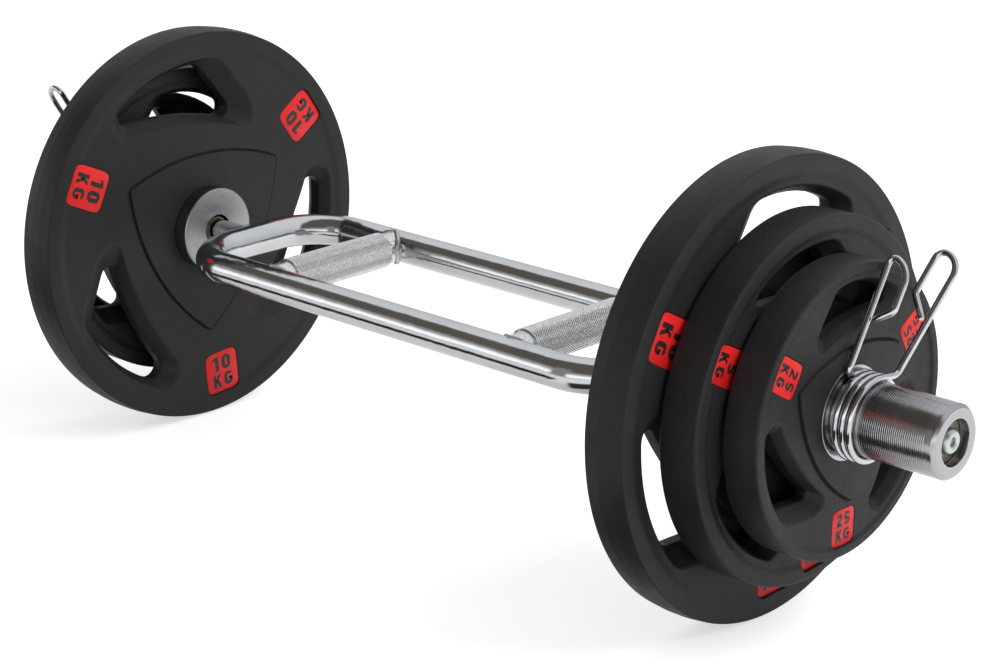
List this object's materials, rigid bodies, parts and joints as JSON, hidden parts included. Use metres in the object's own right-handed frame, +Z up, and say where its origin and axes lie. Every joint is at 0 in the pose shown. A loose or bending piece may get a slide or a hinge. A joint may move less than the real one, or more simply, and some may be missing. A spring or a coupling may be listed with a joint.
{
  "type": "triceps bar",
  "caption": "Short bar with two parallel knurled grips in a rounded frame, turning sleeves, rubber-covered grip plates and wire spring clips.",
  "frame": {"origin": "on the floor, midway between the ends, under the bar's axis", "axes": "+X along the bar, +Y across it in the frame's plane, +Z up"},
  "size_m": [0.8824, 0.32, 0.32],
  "materials": {
    "chrome": "polished chrome plate on bent steel",
    "knurled_chrome": "fine diamond knurl, chrome plated",
    "shaft_steel": "turned and plated",
    "turned_steel": "fine concentric turning marks",
    "sleeve_steel": "plated, with fine ridges round it",
    "dark_washer": "dark plated",
    "zinc": "bright zinc plate",
    "bronze": "sintered bearing bronze",
    "rubber_smooth": "moulded, nearly smooth, satin",
    "rubber_grained": "moulded, coarse fine-pitted grain",
    "cast_iron": "bare casting inside the rubber",
    "ring_steel": "turned steel, plated",
    "spring_chrome": "polished chrome plate on spring wire"
  },
  "bodies": {
    "frame": {"rail_front": "chrome", "rail_rear": "chrome", "end_bow_right": "chrome", "handle_right": "knurled_chrome", "shaft_right": "shaft_steel", "shaft_washer_right": "dark_washer", "shaft_bolt_right": "zinc", "end_bow_left": "chrome", "handle_left": "knurled_chrome", "shaft_left": "shaft_steel", "shaft_washer_left": "dark_washer", "shaft_bolt_left": "zinc"},
    "turning_sleeve_right": {"sleeve_right": "sleeve_steel", "flange_right": "turned_steel", "bush_inner_right": "bronze", "bush_outer_right": "bronze"},
    "disc_10_right": {"plate_10_right": "rubber_smooth", "core_10_right": "cast_iron", "ring_10_right": "ring_steel"},
    "disc_5_right": {"plate_5_right": "rubber_grained", "core_5_right": "cast_iron", "ring_5_right": "ring_steel"},
    "disc_2_5_right": {"plate_2_5_right": "rubber_grained", "core_2_5_right": "cast_iron", "ring_2_5_right": "ring_steel"},
    "clip_right": {"clip_coil_right": "spring_chrome"},
    "clip_inner_right": {"clip_arm_inner_right": "spring_chrome"},
    "clip_outer_right": {"clip_arm_outer_right": "spring_chrome"},
    "turning_sleeve_left": {"sleeve_left": "sleeve_steel", "flange_left": "turned_steel", "bush_inner_left": "bronze", "bush_outer_left": "bronze"},
    "disc_10_left": {"plate_10_left": "rubber_smooth", "core_10_left": "cast_iron", "ring_10_left": "ring_steel"},
    "disc_5_left": {"plate_5_left": "rubber_grained", "core_5_left": "cast_iron", "ring_5_left": "ring_steel"},
    "disc_2_5_left": {"plate_2_5_left": "rubber_grained", "core_2_5_left": "cast_iron", "ring_2_5_left": "ring_steel"},
    "clip_left": {"clip_coil_left": "spring_chrome"},
    "clip_inner_left": {"clip_arm_inner_left": "spring_chrome"},
    "clip_outer_left": {"clip_arm_outer_left": "spring_chrome"}
  },
  "joints": [
    {"name": "sleeve_spin_right", "type": "hinge", "parent": "frame", "child": "turning_sleeve_right", "pos_m": [0.35, 0, 0.16], "axis": [1, 0, 0], "continuous": true},
    {"name": "plate_10_slide_right", "type": "slide", "parent": "turning_sleeve_right", "child": "disc_10_right", "axis": [1, 0, 0], "range_m": [0, 0.175]},
    {"name": "plate_5_slide_right", "type": "slide", "parent": "disc_10_right", "child": "disc_5_right", "axis": [1, 0, 0], "range_m": [0, 0.142]},
    {"name": "plate_2_5_slide_right", "type": "slide", "parent": "disc_5_right", "child": "disc_2_5_right", "axis": [1, 0, 0], "range_m": [0, 0.112]},
    {"name": "clip_slide_right", "type": "slide", "parent": "disc_2_5_right", "child": "clip_right", "axis": [1, 0, 0], "range_m": [0, 0.084]},
    {"name": "clip_squeeze_right", "type": "hinge", "parent": "clip_right", "child": "clip_inner_right", "pos_m": [0.3654, 0, 0.16], "axis": [-1, 0, 0], "range_deg": [0, 8], "stiffness_Nm_per_rad": 2},
    {"name": "clip_follow_right", "type": "hinge", "parent": "clip_right", "child": "clip_outer_right", "pos_m": [0.3815, 0, 0.16], "axis": [1, 0, 0], "range_deg": [0, 8]},
    {"name": "sleeve_spin_left", "type": "hinge", "parent": "frame", "child": "turning_sleeve_left", "pos_m": [-0.35, 0, 0.16], "axis": [-1, 0, 0], "continuous": true},
    {"name": "plate_10_slide_left", "type": "slide", "parent": "turning_sleeve_left", "child": "disc_10_left", "axis": [-1, 0, 0], "range_m": [0, 0.175]},
    {"name": "plate_5_slide_left", "type": "slide", "parent": "disc_10_left", "child": "disc_5_left", "axis": [-1, 0, 0], "range_m": [0, 0.142]},
    {"name": "plate_2_5_slide_left", "type": "slide", "parent": "disc_5_left", "child": "disc_2_5_left", "axis": [-1, 0, 0], "range_m": [0, 0.112]},
    {"name": "clip_slide_left", "type": "slide", "parent": "disc_2_5_left", "child": "clip_left", "axis": [-1, 0, 0], "range_m": [0, 0.072]},
    {"name": "clip_squeeze_left", "type": "hinge", "parent": "clip_left", "child": "clip_inner_left", "pos_m": [-0.3774, 0, 0.16], "axis": [1, 0, 0], "range_deg": [0, 8], "stiffness_Nm_per_rad": 2},
    {"name": "clip_follow_left", "type": "hinge", "parent": "clip_left", "child": "clip_outer_left", "pos_m": [-0.3935, 0, 0.16], "axis": [-1, 0, 0], "range_deg": [0, 8]}
  ],
  "couplings": [
    {"joint": "clip_follow_right", "follows": "clip_squeeze_right", "ratio": 1},
    {"joint": "clip_follow_left", "follows": "clip_squeeze_left", "ratio": 1}
  ]
}
